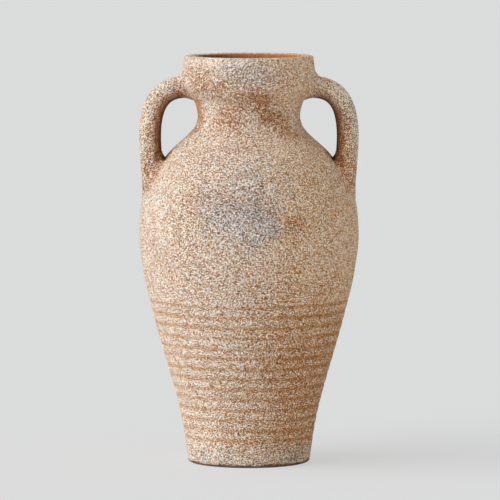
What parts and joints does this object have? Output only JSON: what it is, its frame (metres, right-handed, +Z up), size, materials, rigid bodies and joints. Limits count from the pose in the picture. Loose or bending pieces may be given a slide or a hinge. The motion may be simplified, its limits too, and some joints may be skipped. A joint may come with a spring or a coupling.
{
  "type": "amphora vase",
  "caption": "Tall two-handled amphora vase in coarse sanded earthenware, with a ribbed lower wall, full shoulder, short neck and upright collar.",
  "frame": {"origin": "centre of the base, on the surface that the vase stands on", "axes": "+Z up along the axis of the vase; the two handles lie on +X and -X"},
  "size_m": [0.2432, 0.2432, 0.45],
  "materials": {
    "ribbed_clay": "unglazed, coarse sanded, dry matt, ochre in the grooves and whitish on the ridges",
    "whitened_clay": "unglazed, coarse sanded, dry matt, flecked whitish over tan with grey patches",
    "stained_clay": "unglazed, coarse sanded, dry matt, orange brown stain under whitish flecks",
    "handle_clay": "unglazed, coarse sanded, dry matt, grey flecks on top and brown on the inner side"
  },
  "bodies": {
    "root": {"foot": "ribbed_clay", "lower_wall": "ribbed_clay", "shoulder_wall": "whitened_clay", "neck": "stained_clay", "rim_collar": "whitened_clay", "handle_left": "handle_clay", "handle_right": "handle_clay"}
  },
  "joints": []
}
